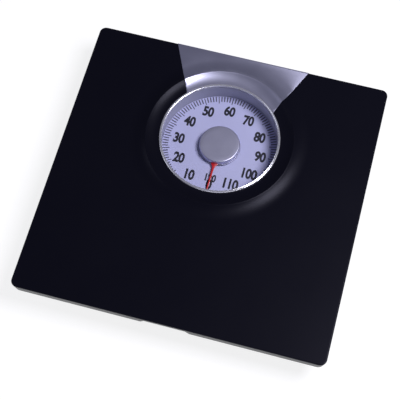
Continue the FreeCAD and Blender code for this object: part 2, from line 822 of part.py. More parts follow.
def channel(start, end, lead, trail):
    """Channel lever open at the top, along a line seen from above, with overhangs."""
    run_x = end[0] - start[0]
    run_y = end[1] - start[1]
    length = math.hypot(run_x, run_y)
    half = lever_width / 2
    block = box((-lead, length + trail), (-half, half), (lever_bottom, lever_top))
    hollow = box((-lead - 1, length + trail + 1), (-half + lever_sheet, half - lever_sheet),
                 (lever_bottom + lever_sheet, lever_top + 1))
    placement = FreeCAD.Placement(Vector(start[0], start[1], 0),
                                  FreeCAD.Rotation(Vector(0, 0, 1),
                                                   math.degrees(math.atan2(run_y, run_x))))
    block.Placement = placement
    hollow.Placement = placement
    return block, hollow


def lever_holes(side, row):
    """Bores for the pivot pin and the load pin of one arm, along X."""
    x = side * pivot_x
    bores = [cross_pin(pivot_pin_radius + running, (x - 20, x + 20), row * pivot_y, pivot_z)]
    x = side * load_x
    bores.append(cross_pin(load_pin_radius, (x - 12, x + 12), row * load_y, pivot_z))
    return bores


def long_lever():
    """A-shaped lever: two channel arms from the rear pivots to one nose at the front."""
    blocks = []
    hollows = []
    for side in (-1, 1):
        block, hollow = channel((side * pivot_x, pivot_y), (0, nose_y), 6, 0)
        blocks.append(block)
        hollows.append(hollow)
    front = nose_y - 3
    nose = box((-12, 12), (front, nose_y + 14), (lever_bottom, lever_top))
    nose_hollow = box((-12 + lever_sheet, 12 - lever_sheet), (front + lever_sheet, nose_y + 30),
                      (lever_bottom + lever_sheet, lever_top + 1))
    body = join(blocks + [nose])
    keep = box((-platform_width, platform_width), (front, platform_depth), (0, 100))
    body = cut_all(body.common(keep), hollows + [nose_hollow])
    plate_face = cal_pivot_z + nose_arm * math.sin(cal_angle) + cal_sheet / 2
    finger_z = plate_face + touch_gap + finger_radius
    finger = cross_pin(finger_radius, (-3, 3), nose_y, finger_z)
    root_z = lever_bottom + lever_sheet / 2
    neck = box((-3, 3), (nose_y - finger_radius, nose_y + finger_radius),
               (min(finger_z, root_z), max(finger_z, root_z)))
    body = join([body, finger, neck])
    holes = lever_holes(-1, 1) + lever_holes(1, 1)
    return cut_all(body, holes)


def short_lever(side):
    """Channel lever from a front pivot, whose raised toe rests on the long lever's arm."""
    start = (side * pivot_x, -pivot_y)
    end = (side * meet_x, 0)
    block, hollow = channel(start, end, 6, -16)
    run = math.hypot(end[0] - start[0], end[1] - start[1])
    strap = box((run - 30, run + 4), (-4, 4), (lever_top + 0.6, lever_top + 2.6))
    riser = box((run - 30, run - 17), (-4, 4), (lever_bottom + lever_sheet, lever_top + 0.6))
    dimple = box((run - 1.5, run + 1.5), (-1.5, 1.5), (lever_top + touch_gap, lever_top + 0.6))
    for shape in (strap, riser, dimple):
        shape.Placement = block.Placement
    lever = join([block.cut(hollow), riser, strap, dimple])
    return cut_all(lever, lever_holes(side, -1))


def load_pin(x, y):
    """Pin across one lever arm, under a load post."""
    return cross_pin(load_pin_radius, (x - 8.2, x + 8.2), y, pivot_z)


# ---------------------------------------------------------------- calibrating plate

def tilted(shape):
    """Shape turned about the calibrating plate's hinge from level to its rest tilt."""
    shape = shape.copy()
    shape.rotate(Vector(0, cal_pivot_y, cal_pivot_z), Vector(1, 0, 0), -math.degrees(cal_angle))
    return shape


def calibrating_plate():
    front = spring_y - 4.5
    side = crank_left + crank_sheet + 0.7
    back = cal_pivot_y
    toe_y = cal_pivot_y - crank_arm
    points = [(-cal_half_back, back), (-cal_half_back, back - 20),
              (-cal_half_front, back - 36), (-cal_half_front, front), (cal_half_front, front),
              (cal_half_front, toe_y - 3), (side, toe_y - 3), (side, toe_y + 2),
              (cal_half_front, toe_y + 2), (cal_half_front, back - 36),
              (cal_half_back, back - 20), (cal_half_back, back)]
    z = (cal_pivot_z - cal_sheet / 2, cal_pivot_z + cal_sheet / 2)
    plate = plan_prism(points, z)
    barrel = cross_pin(3.0, (-cal_half_back, cal_half_back), cal_pivot_y, cal_pivot_z)
    plate = join([plate, barrel])
    bore = cross_pin(cal_pin_radius + running, (-40, 40), cal_pivot_y, cal_pivot_z)
    window = box((-5, 5), (back - 30, back - 12), (0, 40))
    link_hole = disc(1.5, (0, 40), 0, spring_y)
    return tilted(cut_all(plate, [bore, window, link_hole]))


def spring_link():
    """Threaded plug in the spring's lower coils, with a shank riveted under the plate."""
    top = cal_pivot_z + cal_sheet / 2
    low = cal_pivot_z - cal_sheet / 2
    plug = disc(spring_mean_radius - spring_wire / 2 - plug_slack, (top + 1.0, top + 3.4),
                0, spring_y)
    collar = disc(3.0, (top, top + 1.0), 0, spring_y)
    shank = disc(1.5, (low, top), 0, spring_y)
    head = disc(3.0, (low - 1.2, low), 0, spring_y)
    return tilted(join([plug, collar, shank, head]))


def main_spring():
    """Tension spring between the calibrating plate and the adjusting screw."""
    height = spring_pitch * spring_turns
    helix = Part.makeHelix(spring_pitch, height, spring_mean_radius)
    section = Part.Wire(Part.makeCircle(spring_wire / 2, Vector(spring_mean_radius, 0, 0),
                                        Vector(0, 1, 0)))
    spring = Part.Wire(helix).makePipeShell([section], True, True)
    spring.translate(Vector(0, spring_y, spring_low + 0.4))
    return spring


# ---------------------------------------------------------------- zero adjuster

def adjusting_screw():
    """Screw that draws the spring's upper plug up or down as the thumbwheel turns."""
    plug_z = screw_bracket_top - bracket_sheet - 1.7
    plug = disc(spring_mean_radius - spring_wire / 2 - 0.1, (plug_z - 3.0, plug_z), 0, spring_y)
    stem = disc(screw_radius, (plug_z, wheel_bottom + wheel_height + 0.8), 0, spring_y)
    return join([plug, stem])


def zero_wheel():
    """Thumbwheel with a grooved rim, threaded on the adjusting screw."""
    z = (wheel_bottom, wheel_bottom + wheel_height)
    wheel = disc(wheel_radius, z, 0, spring_y)
    rim = [edge for edge in wheel.Edges if isinstance(edge.Curve, Part.Circle)]
    wheel = wheel.makeFillet(0.6, rim)
    recess = ring(wheel_radius - 4.0, 6.0, (z[1] - 1.2, z[1]), 0, spring_y)
    grooves = []
    for index in range(wheel_grooves):
        angle = 2 * math.pi * index / wheel_grooves
        grooves.append(disc(0.7, z, wheel_radius * math.cos(angle),
                            spring_y + wheel_radius * math.sin(angle)))
    bore = disc(screw_radius + running, z, 0, spring_y)
    return wheel.cut(group(grooves)).cut(recess).cut(bore)


# ---------------------------------------------------------------- bell crank and rack

def bell_crank():
    """Flat crank: a short toe on the calibrating plate and a long arm to the rack."""
    x = (crank_left, crank_left + crank_sheet)
    hub = cross_pin(4.0, x, 0, 0)
    toe = cross_pin(toe_radius, x, -toe_length, 0)
    toe_arm = side_prism([(0, -1.0), (0, 3.0), (-toe_length, 1.6), (-toe_length, -0.4)], x)
    tip = cross_pin(tip_radius, x, 0, tip_length)
    tip_arm = side_prism([(-3.0, 0), (3.0, 0), (2.0, tip_length), (-2.0, tip_length)], x)
    stud = cross_pin(stud_radius, (crank_left - 4.0, crank_left), 0, tip_length)
    crank = join([hub, toe, toe_arm, tip, tip_arm, stud])
    crank = crank.cut(cross_pin(crank_pin_radius + running, (0, 60), 0, 0))
    crank.rotate(Vector(0, 0, 0), Vector(1, 0, 0), -math.degrees(crank_rest))
    crank.translate(Vector(0, crank_y, crank_z))
    return crank


def tooth_flank(root, tip, half_angle):
    """Points of an involute flank from root to tip, mirrored for the other side."""
    base = pitch_radius * math.cos(math.radians(20))
    involute_at_pitch = math.tan(math.radians(20)) - math.radians(20)
    points = []
    steps = 5
    for index in range(steps + 1):
        radius = root + (tip - root) * index / steps
        involute = 0.0
        if radius > base:
            pressure = math.acos(base / radius)
            involute = math.tan(pressure) - pressure
        points.append((radius, half_angle + involute_at_pitch - involute))
    return points


def pinion():
    """Small gear on the pointer's shaft, driven by the rack."""
    tip = pitch_radius + 0.8 * gear_module
    root = pitch_radius - 1.2 * gear_module
    tooth_half = math.pi / (2 * pinion_teeth) - backlash / (4 * pitch_radius)
    flank = tooth_flank(root, tip, tooth_half)
    points = []
    for index in range(pinion_teeth):
        middle = 2 * math.pi * (index + 0.5) / pinion_teeth
        for radius, angle in flank:
            points.append((radius * math.cos(middle - angle),
                           radius * math.sin(middle - angle)))
        for radius, angle in reversed(flank):
            points.append((radius * math.cos(middle + angle),
                           radius * math.sin(middle + angle)))
    gear = plan_prism(points, (pinion_low, pinion_high))
    gear.translate(Vector(0, dial_y, 0))
    return gear.cut(disc(shaft_radius, (0, platform_height), 0, dial_y))


def rack_teeth():
    """Tooth prisms along the rack's edge, with a tooth on the line of centres."""
    pitch = math.pi * gear_module
    slope = math.tan(math.radians(20))
    addendum = 0.6 * gear_module
    dedendum = 1.1 * gear_module
    half = pitch / 4 - backlash / 4
    count = int(rack_travel / pitch) + 4
    teeth = []
    for index in range(-3, count):
        y = dial_y + index * pitch
        points = [(pitch_radius - addendum, y - half + addendum * slope),
                  (pitch_radius - addendum, y + half - addendum * slope),
                  (pitch_radius + dedendum, y + half + dedendum * slope),
                  (pitch_radius + dedendum, y - half - dedendum * slope)]
        teeth.append(plan_prism(points, (rack_low, rack_low + rack_sheet)))
    return teeth


def rack():
    """Joggled strip: a fork on the crank's stud in front, teeth beside the pinion behind."""
    high = tip_z - stud_radius - touch_gap - rack_sheet
    slope_front = dial_y - 115
    slope_back = dial_y - 65
    front = tip_y - 4.5
    back = dial_y + rack_travel + 8
    sheet = rack_sheet
    side = [(front, high), (slope_front, high), (slope_back, rack_low), (back, rack_low),
            (back, rack_low + sheet), (slope_back + 0.3, rack_low + sheet),
            (slope_front + 0.3, high + sheet), (front, high + sheet)]
    strip = side_prism(side, (0, 40))
    edge = crank_left - 0.5
    web = pitch_radius + 1.1 * gear_module
    bend_front = slope_front - 20
    bend_back = slope_back + 5
    plan = [(edge - rack_front_width, front), (edge, front), (edge, bend_front),
            (web + rack_width - 0.55, bend_back), (web + rack_width - 0.55, back), (web, back),
            (web, bend_back), (edge - rack_front_width, bend_front)]
    strip = strip.common(plan_prism(plan, (0, 60)))
    prongs = []
    gap = stud_radius + 2 * touch_gap
    for side_sign in (-1, 1):
        limits = sorted((tip_y + side_sign * gap, tip_y + side_sign * (gap + 2.0)))
        prongs.append(box((edge - 2.0, edge), limits, (high, tip_z + 2.2)))
    return join([strip] + prongs + rack_teeth())


# ---------------------------------------------------------------- pointer

def pointer_shaft():
    """Upright shaft from the foot bearing to the cap."""
    return disc(shaft_radius, (floor_z + 1.8, cap_top - cap_wall - 0.3), 0, dial_y)


def hub_disc():
    """Disc with a boss on the shaft; a step in it makes the groove under the cap."""
    step = cap_radius - 1.4
    boss_top = cap_top - cap_wall - 0.5
    body = join([disc(cap_radius + hub_lip, (hub_z, needle_z), 0, dial_y),
                 disc(step, (needle_z, cap_bottom), 0, dial_y),
                 disc(hub_boss_radius, (cap_bottom, boss_top), 0, dial_y)])
    seat = box((-needle_root_half - 0.1, needle_root_half + 0.1),
               (dial_y - cap_radius - 5, dial_y - needle_root + 0.2),
               (needle_z, cap_bottom + 0.01))
    return cut_all(body, [seat, disc(shaft_radius, (0, platform_height), 0, dial_y)])


def needle():
    """Flat pointer: a root let into the hub disc, a flare, then a long tapering bar."""
    neck = cap_radius + needle_flare
    half = [(needle_root_half, needle_root), (needle_root_half, cap_radius),
            (needle_neck_half + 0.8, cap_radius + 0.55 * needle_flare),
            (needle_neck_half, neck), (needle_tip_half, needle_reach)]
    points = [(x, dial_y - reach) for x, reach in half]
    points += [(-x, dial_y - reach) for x, reach in reversed(half)]
    return plan_prism(points, (needle_z, needle_z + needle_sheet))


def hub_cap():
    """Hollow cap over the hub, with a round upper edge."""
    shell = disc(cap_radius, (cap_bottom, cap_top), 0, dial_y)
    rim = [edge for edge in shell.Edges if edge.BoundBox.ZMin > cap_top - 0.01]
    shell = shell.makeFillet(cap_round, rim)
    hollow = disc(cap_radius - cap_wall, (cap_bottom - 1, cap_top - cap_wall), 0, dial_y)
    socket = disc(hub_boss_radius + cap_wall, (cap_bottom, cap_top - cap_wall), 0, dial_y)
    bore = disc(hub_boss_radius, (cap_bottom - 1, cap_top - cap_wall), 0, dial_y)
    return join([shell.cut(hollow), socket]).cut(bore)


# ---------------------------------------------------------------- output

corner_names = ["front_left", "front_right", "rear_left", "rear_right"]

nodes = {
    "platform_cover": platform_cover(),
    "platform_plate": platform_plate(),
    "cover_screws": cover_screws(),
    "trim_panel": trim_panel(),
    "bezel_ring": bezel_ring(),
    "lens": lens(),
    "dial_well": dial_well(),
    "well_screws": well_screws(),
    "load_posts": load_posts(),
    "base_tray": base_tray(),
    "foot_rivets": foot_rivets(),
    "bracket_rivets": bracket_rivets(),
    "pivot_pins": pivot_pins(),
    "screw_bracket": screw_bracket(),
    "cal_bracket": cal_bracket(),
    "cal_pin": cal_pin(),
    "crank_bracket": crank_bracket(),
    "crank_pin": crank_pin(),
    "dial_bridge": dial_bridge(),
    "dial_posts": dial_posts(),
    "dial_plate": dial_plate(),
    "dial_screws": dial_screws(),
    "shaft_bush": shaft_bush(),
    "foot_bearing": foot_bearing(),
    "rack_guide": rack_guide(),
    "long_lever": long_lever(),
    "short_lever_left": short_lever(-1),
    "short_lever_right": short_lever(1),
    "long_lever_pins": group([load_pin(-load_x, load_y), load_pin(load_x, load_y)]),
    "short_pin_left": load_pin(-load_x, -load_y),
    "short_pin_right": load_pin(load_x, -load_y),
    "calibrating_plate": calibrating_plate(),
    "spring_link": spring_link(),
    "main_spring": main_spring(),
    "adjusting_screw": adjusting_screw(),
    "zero_wheel": zero_wheel(),
    "bell_crank": bell_crank(),
    "rack": rack(),
    "pinion": pinion(),
    "pointer_shaft": pointer_shaft(),
    "hub_disc": hub_disc(),
    "needle": needle(),
    "hub_cap": hub_cap(),
}
for name, (x, y) in zip(corner_names, pivot_places()):
    nodes["foot_" + name] = foot(x, y)
for name, (x, y) in zip(corner_names, pivot_places()):
    nodes["pivot_bracket_" + name] = pivot_bracket(x, y)

os.makedirs("parts", exist_ok=True)
for name, shape in nodes.items():
    shape.exportStep("parts/" + name + ".step")
    print(name, "solids", len(shape.Solids), "valid", shape.isValid(), "volume",
          round(shape.Volume, 1))
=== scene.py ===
import json
import math

import bmesh
import bpy
from mathutils import Matrix, Vector


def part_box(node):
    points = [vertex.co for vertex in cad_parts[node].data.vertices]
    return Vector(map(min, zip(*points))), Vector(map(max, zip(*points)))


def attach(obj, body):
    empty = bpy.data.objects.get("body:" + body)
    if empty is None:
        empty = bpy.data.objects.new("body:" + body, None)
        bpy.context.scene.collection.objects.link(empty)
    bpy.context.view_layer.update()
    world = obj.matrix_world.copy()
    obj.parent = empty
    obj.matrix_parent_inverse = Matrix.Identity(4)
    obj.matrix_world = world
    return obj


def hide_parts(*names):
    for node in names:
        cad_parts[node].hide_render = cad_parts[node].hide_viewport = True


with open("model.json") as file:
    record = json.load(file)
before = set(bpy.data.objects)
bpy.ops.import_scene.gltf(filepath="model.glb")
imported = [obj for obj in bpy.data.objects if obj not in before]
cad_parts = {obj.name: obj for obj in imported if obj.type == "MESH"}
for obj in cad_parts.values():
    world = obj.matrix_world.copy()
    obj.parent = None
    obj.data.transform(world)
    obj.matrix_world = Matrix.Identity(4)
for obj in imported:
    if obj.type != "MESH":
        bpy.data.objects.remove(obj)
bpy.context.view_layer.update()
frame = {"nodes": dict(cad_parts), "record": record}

# ------------------------------------------------------------------ camera, light and floor
# The scale stands on a plain white light table. A softbox high on its right throws the shadow
# of the well on the dial, and two wide weak ones fill it from the left and the front.

bpy.context.scene.view_settings.view_transform = "Standard"

camera_data = bpy.data.cameras.new("camera")
camera_data.lens = 96.14
camera_data.sensor_width = 36.0
camera = bpy.data.objects.new("camera", camera_data)
camera_right = Vector((0.9654045, 0.2605563, -0.0102270))
camera_up = Vector((-0.2353384, 0.8875170, 0.3961431))
camera_back = camera_right.cross(camera_up)
camera_place = Vector((0.12093, -0.43214, 1.04582))
camera.matrix_world = Matrix((
    (camera_right.x, camera_up.x, camera_back.x, camera_place.x),
    (camera_right.y, camera_up.y, camera_back.y, camera_place.y),
    (camera_right.z, camera_up.z, camera_back.z, camera_place.z),
    (0, 0, 0, 1)))
bpy.context.scene.collection.objects.link(camera)
bpy.context.scene.camera = camera

world = bpy.data.worlds.new("studio")
world.use_nodes = True
world.node_tree.nodes["Background"].inputs["Color"].default_value = (0.74, 0.76, 1.0, 1)
world.node_tree.nodes["Background"].inputs["Strength"].default_value = 0.11
bpy.context.scene.world = world


def softbox(name, place, target, width, height, power, colour):
    data = bpy.data.lights.new(name, "AREA")
    data.shape = "RECTANGLE"
    data.size = width
    data.size_y = height
    data.energy = power
    data.color = colour
    lamp = bpy.data.objects.new(name, data)
    place = Vector(place)
    aim = Vector(target) - place
    turn = aim.to_track_quat("-Z", "Y").to_matrix().to_4x4()
    lamp.matrix_world = Matrix.Translation(place) @ turn
    bpy.context.scene.collection.objects.link(lamp)


softbox("key_softbox", (0.68, 0.10, 1.34), (0, 0.04, 0), 0.56, 0.56, 20, (0.97, 0.96, 1.0))
softbox("fill_softbox", (-1.5, -0.3, 0.9), (0, 0, 0), 1.0, 1.0, 5, (0.86, 0.88, 1.0))
softbox("front_softbox", (0.3, -1.6, 0.6), (0, 0, 0), 1.6, 0.6, 6, (0.9, 0.9, 1.0))


# ------------------------------------------------------------------ base tray
# A tray pressed from 1.2 mm steel sheet and powder coated black. The feet and all the
# brackets are riveted through its floor.


class Socket:
    """An output socket, with arithmetic that adds Math nodes."""

    def __init__(self, tree, out):
        self.tree = tree
        self.out = out

    def maths(self, operation, first, second=None):
        node = self.tree.nodes.new("ShaderNodeMath")
        node.operation = operation
        for index, value in enumerate((first, second)):
            if isinstance(value, Socket):
                self.tree.links.new(value.out, node.inputs[index])
            elif value is not None:
                node.inputs[index].default_value = value
        return Socket(self.tree, node.outputs[0])

    def __add__(self, other):
        return self.maths("ADD", self, other)

    __radd__ = __add__

    def __mul__(self, other):
        return self.maths("MULTIPLY", self, other)

    __rmul__ = __mul__


class Finish:
    """A material under construction, with one method that adds any node."""

    def __init__(self, name, colour, roughness, metallic=0.0, coat=0.0, specular=0.5):
        self.material = bpy.data.materials.new(name)
        self.material.use_nodes = True
        self.tree = self.material.node_tree
        self.shader = self.tree.nodes["Principled BSDF"]
        settings = {"Base Color": (*colour, 1), "Roughness": roughness, "Metallic": metallic,
                    "Coat Weight": coat, "Coat Roughness": 0.1,
                    "Specular IOR Level": specular}
        for socket, value in settings.items():
            self.shader.inputs[socket].default_value = value

    def node(self, kind, settings=None, inputs=None, output=0):
        node = self.tree.nodes.new("ShaderNode" + kind)
        for key, value in (settings or {}).items():
            setattr(node, key, value)
        for key, value in (inputs or {}).items():
            if isinstance(value, Socket):
                self.tree.links.new(value.out, node.inputs[key])
            else:
                node.inputs[key].default_value = value
        return Socket(self.tree, node.outputs[output])

    def place(self, centre=(0, 0, 0), scale=(1, 1, 1), turn=0.0):
        """Object coordinates about a centre, in metres."""
        where = self.node("TexCoord", output="Object")
        shift = self.node("VectorMath", {"operation": "SUBTRACT"}, {0: where, 1: centre})
        return self.node("Mapping", None, {"Vector": shift, "Scale": scale,
                                           "Rotation": (0, 0, turn)})

    def noise(self, vector, size, detail=3.0):
        """Noise from 0 to 1 whose features are about the given size in metres."""
        return self.node("TexNoise", None, {"Vector": vector, "Scale": 1 / size,
                                            "Detail": detail}, "Fac")

    def mix(self, factor, first, second):
        """Colour between two colours."""
        return self.node("Mix", {"data_type": "RGBA"}, {0: factor, 6: first, 7: second}, 2)

    def feed(self, socket, value):
        self.tree.links.new(value.out, self.shader.inputs[socket])

    def bump(self, height, distance):
        """Relief in metres from a height between 0 and 1."""
        normal = self.node("Bump", None, {"Height": height, "Distance": distance,
                                          "Strength": 1.0}, "Normal")
        self.feed("Normal", normal)

    def vary(self, vector, size, colour, other, rough, other_rough):
        """Slow variation of colour and roughness over the surface."""
        cloud = self.noise(vector, size)
        self.feed("Base Color", self.mix(cloud, (*colour, 1), (*other, 1)))
        self.feed("Roughness", cloud * (other_rough - rough) + rough)


nodes = frame["nodes"]


def dress(finish, *names):
    """Gives CAD nodes a finish."""
    for name in names:
        data = nodes[name].data
        data.materials.clear()
        data.materials.append(finish.material)


powder = Finish("black_powder_coat", (0.012, 0.012, 0.014), 0.45)
spot = powder.place()
powder.vary(spot, 0.03, (0.011, 0.011, 0.013), (0.018, 0.018, 0.020), 0.42, 0.52)
powder.bump(powder.noise(spot, 0.0008), 0.00008)
dress(powder, "base_tray")

# ------------------------------------------------------------------ feet
# Four round feet moulded in black rubber. A steel rivet in the recess of each one holds it
# to the tray.

rubber = Finish("foot_rubber", (0.015, 0.015, 0.015), 0.75)
spot = rubber.place()
rubber.vary(spot, 0.01, (0.012, 0.012, 0.012), (0.022, 0.022, 0.021), 0.7, 0.85)
rubber.bump(rubber.noise(spot, 0.0006), 0.00006)
dress(rubber, "foot_front_left", "foot_front_right", "foot_rear_left", "foot_rear_right")

# ------------------------------------------------------------------ levers and brackets
# Punched and folded from zinc-plated sheet steel, whose spangle shows as slow patches of
# grey. The brackets are riveted to the tray and the levers turn on pins in them.

zinc = Finish("zinc_plated_steel", (0.5, 0.5, 0.5), 0.35, metallic=1.0)
spot = zinc.place()
zinc.vary(spot, 0.006, (0.50, 0.50, 0.48), (0.62, 0.62, 0.62), 0.28, 0.45)
zinc.bump(zinc.noise(spot, 0.0015), 0.00002)
dress(zinc, "platform_plate", "load_posts", "long_lever", "short_lever_left",
      "short_lever_right", "calibrating_plate", "screw_bracket", "cal_bracket",
      "crank_bracket", "bell_crank", "rack", "dial_bridge",
      "pivot_bracket_front_left", "pivot_bracket_front_right",
      "pivot_bracket_rear_left", "pivot_bracket_rear_right")

# ------------------------------------------------------------------ pins, screws and rivets
# Turned or headed from bright steel wire and bar. They carry the levers, hold the cover and
# the dial, and set the zero.

bright = Finish("bright_steel", (0.6, 0.6, 0.6), 0.25, metallic=1.0)
spot = bright.place()
bright.vary(spot, 0.004, (0.56, 0.56, 0.56), (0.66, 0.66, 0.65), 0.2, 0.32)
dress(bright, "cover_screws", "well_screws", "pivot_pins", "cal_pin", "crank_pin",
      "long_lever_pins", "short_pin_left", "short_pin_right", "foot_rivets",
      "bracket_rivets", "dial_posts", "dial_screws", "pointer_shaft", "adjusting_screw",
      "spring_link")

# ------------------------------------------------------------------ main spring
# A tension spring wound from oiled spring steel wire. It joins the calibrating plate to the
# adjusting screw and holds the plate up.

oiled = Finish("oiled_spring_steel", (0.18, 0.18, 0.19), 0.3, metallic=1.0)
spot = oiled.place()
oiled.vary(spot, 0.003, (0.15, 0.15, 0.17), (0.22, 0.21, 0.20), 0.25, 0.4)
dress(oiled, "main_spring")

# ------------------------------------------------------------------ pinion and bearings
# The pinion and the two bearings of the pointer's shaft, turned from brass rod. The flanged
# bush sits in the bridge and the cup stands on the tray's floor.

brass = Finish("turned_brass", (0.7, 0.5, 0.2), 0.3, metallic=1.0)
spot = brass.place()
brass.vary(spot, 0.003, (0.66, 0.47, 0.18), (0.75, 0.56, 0.25), 0.25, 0.4)
dress(brass, "pinion", "shaft_bush", "foot_bearing")

# ------------------------------------------------------------------ rack guide
# A C-shaped moulding of pale nylon, riveted under the bridge. It keeps the rack against
# the pinion.

nylon = Finish("moulded_nylon", (0.75, 0.75, 0.72), 0.5)
spot = nylon.place()
nylon.vary(spot, 0.005, (0.72, 0.72, 0.69), (0.8, 0.8, 0.77), 0.45, 0.55)
dress(nylon, "rack_guide")

# ------------------------------------------------------------------ zero wheel
# A black moulded wheel with a grooved rim behind the notch, threaded on the adjusting
# screw. A thumb turns it to set the zero.

wheel = Finish("wheel_plastic", (0.02, 0.02, 0.02), 0.4)
spot = wheel.place()
wheel.vary(spot, 0.005, (0.02, 0.02, 0.02), (0.03, 0.03, 0.03), 0.35, 0.5)
dress(wheel, "zero_wheel")

# ------------------------------------------------------------------ platform cover
# One moulding in black ABS with a fine grain. Round the dial it swells up to a crisp crest
# and falls again to the seat of the bright ring. Six screws hold the steel plate under it.

platform_top = next(mount["pos_m"][2] for mount in frame["record"]["mounts"]
                    if mount["name"] == "platform_top")
cover_low, cover_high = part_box("platform_cover")
ring_low, ring_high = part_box("bezel_ring")
dial_x = (ring_low.x + ring_high.x) / 2
dial_y = (ring_low.y + ring_high.y) / 2
ring_radius = (ring_high.x - ring_low.x) / 2
half_width = 0.160
half_depth = 0.155
corner_radius = 0.007
edge_radius = 0.0013
skirt_draft = 0.0014
cover_wall = 0.0024
opening_radius = ring_radius - 0.001
seat_z = platform_top + 0.0002
crest_radius = 0.0776
crest_z = platform_top + 0.004
swell_radius = 0.094
crest_round = 0.0007
rim_margin = 0.0006
round_steps = 192


def flare(foot, crest, steps):
    """Points of an arc that leaves the foot level and rises to the crest."""
    run = crest[0] - foot[0]
    rise = crest[1] - foot[1]
    radius = (run ** 2 + rise ** 2) / (2 * rise)
    turn = math.asin(abs(run) / radius)
    side = math.copysign(radius, run)
    return [(foot[0] + side * math.sin(turn * step / steps),
             foot[1] + radius * (1 - math.cos(turn * step / steps)))
            for step in range(steps + 1)]


def turned(points, closed=True, steps=round_steps):
    """Mesh turned about the dial's axis from points in radius and height."""
    mesh = bmesh.new()
    corners = [mesh.verts.new((dial_x + radius, dial_y, z)) for radius, z in points]
    edges = [mesh.edges.new(pair) for pair in zip(corners, corners[1:])]
    if closed:
        edges.append(mesh.edges.new((corners[-1], corners[0])))
    bmesh.ops.spin(mesh, geom=corners + edges, cent=(dial_x, dial_y, 0), axis=(0, 0, 1),
                   angle=2 * math.pi, steps=steps, use_merge=True)
    bmesh.ops.remove_doubles(mesh, verts=mesh.verts, dist=1e-6)
    bmesh.ops.recalc_face_normals(mesh, faces=mesh.faces)
    return mesh


def piece(mesh, name, finish, body, crease=35):
    """Object from a mesh, smooth up to the crease angle, riding on a body."""
    data = bpy.data.meshes.new(name)
    mesh.to_mesh(data)
    mesh.free()
    data.shade_smooth()
    data.set_sharp_from_angle(angle=math.radians(crease))
    data.materials.append(finish.material)
    made = bpy.data.objects.new(name, data)
    bpy.context.scene.collection.objects.link(made)
    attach(made, body)
    return made


def cover_skin():
    """Outer skin of the cover, open below and at the dial."""
    mesh = bmesh.new()
    bmesh.ops.create_grid(mesh, x_segments=1, y_segments=1, size=1.0)
    bmesh.ops.scale(mesh, vec=(half_width, half_depth, 1), verts=mesh.verts)
    bmesh.ops.translate(mesh, vec=(0, 0, platform_top), verts=mesh.verts)
    bmesh.ops.bevel(mesh, geom=mesh.verts[:], offset=corner_radius, segments=8, profile=0.5,
                    affect="VERTICES", material=-1)
    top = mesh.faces[:][0]
    rim = top.edges[:]
    skirt = bmesh.ops.extrude_edge_only(mesh, edges=rim)["geom"]
    low = [item for item in skirt if isinstance(item, bmesh.types.BMVert)]
    bmesh.ops.translate(mesh, vec=(0, 0, cover_low.z - platform_top), verts=low)
    bmesh.ops.scale(mesh, vec=(1 - skirt_draft / half_width, 1 - skirt_draft / half_depth, 1),
                    verts=low)
    bmesh.ops.bevel(mesh, geom=rim, offset=edge_radius, segments=5, profile=0.5,
                    affect="EDGES", material=-1)
    bmesh.ops.recalc_face_normals(mesh, faces=mesh.faces)
    top = max(mesh.faces, key=lambda face: face.calc_area() * (face.normal.z > 0.99))
    bmesh.ops.inset_region(mesh, faces=[top], thickness=rim_margin)
    top = max(mesh.faces, key=lambda face: face.calc_area() * (abs(face.normal.z) > 0.99))
    hole = top.edges[:]
    bmesh.ops.delete(mesh, geom=[top], context="FACES_ONLY")

    notch_left, notch_right, notch_slant, notch_height = -0.022, 0.020, 0.004, 0.008
    for x in (notch_left - notch_slant, notch_left, notch_right, notch_right + notch_slant):
        front = [face for face in mesh.faces
                 if face.normal.y < -0.9 and face.calc_area() > 1e-5
                 and min(vert.co.z for vert in face.verts) < cover_low.z + 1e-4]
        around = {item for face in front for item in (face, *face.edges, *face.verts)}
        bmesh.ops.bisect_plane(mesh, geom=list(around), plane_co=(x, 0, 0),
                               plane_no=(1, 0, 0), dist=1e-6)
    lifted = [vert for vert in mesh.verts
              if vert.co.z < cover_low.z + 1e-4 and vert.co.y < 0
              and notch_left - 1e-4 < vert.co.x < notch_right + 1e-4]
    lean = skirt_draft / (platform_top - cover_low.z) * notch_height
    bmesh.ops.translate(mesh, vec=(0, -lean, notch_height), verts=lifted)

    inner = [(opening_radius, seat_z), (ring_radius, seat_z)]
    bowl = flare((ring_radius, seat_z), (crest_radius, crest_z), 12)[1:]
    swell = flare((swell_radius, platform_top), (crest_radius, crest_z), 14)[-2::-1]
    outside = [(swell_radius + rim_margin, platform_top)]
    ring = turned(inner + bowl + swell + outside, closed=False)
    crest = [edge for edge in ring.edges
             if all(abs(vert.co.z - crest_z) < 1e-6 for vert in edge.verts)]
    bmesh.ops.bevel(ring, geom=crest, offset=crest_round, segments=3, profile=0.5,
                    affect="EDGES", material=-1)
    data = bpy.data.meshes.new("swell")
    ring.to_mesh(data)
    ring.free()
    known = set(mesh.verts)
    mesh.from_mesh(data)
    bpy.data.meshes.remove(data)
    foot = [edge for edge in mesh.edges
            if edge.verts[0] not in known and edge.is_boundary
            and (edge.verts[0].co.xy - Vector((dial_x, dial_y))).length > swell_radius]
    bmesh.ops.triangle_fill(mesh, edges=hole + foot, use_beauty=True, normal=(0, 0, 1))
    bmesh.ops.recalc_face_normals(mesh, faces=mesh.faces)
    if sum(face.normal.z * face.calc_area() for face in mesh.faces) < 0:
        bmesh.ops.reverse_faces(mesh, faces=mesh.faces)
    return mesh


def thicken(made, thickness, bevel_width=0.0):
    """Wall under a skin, with its edges rounded where a width is given."""
    wall = made.modifiers.new("wall", "SOLIDIFY")
    wall.thickness = thickness
    wall.offset = -1
    wall.use_even_offset = True
    if bevel_width:
        bevel = made.modifiers.new("edges", "BEVEL")
        bevel.width = bevel_width
        bevel.segments = 2
        bevel.limit_method = "ANGLE"
        bevel.angle_limit = math.radians(60)


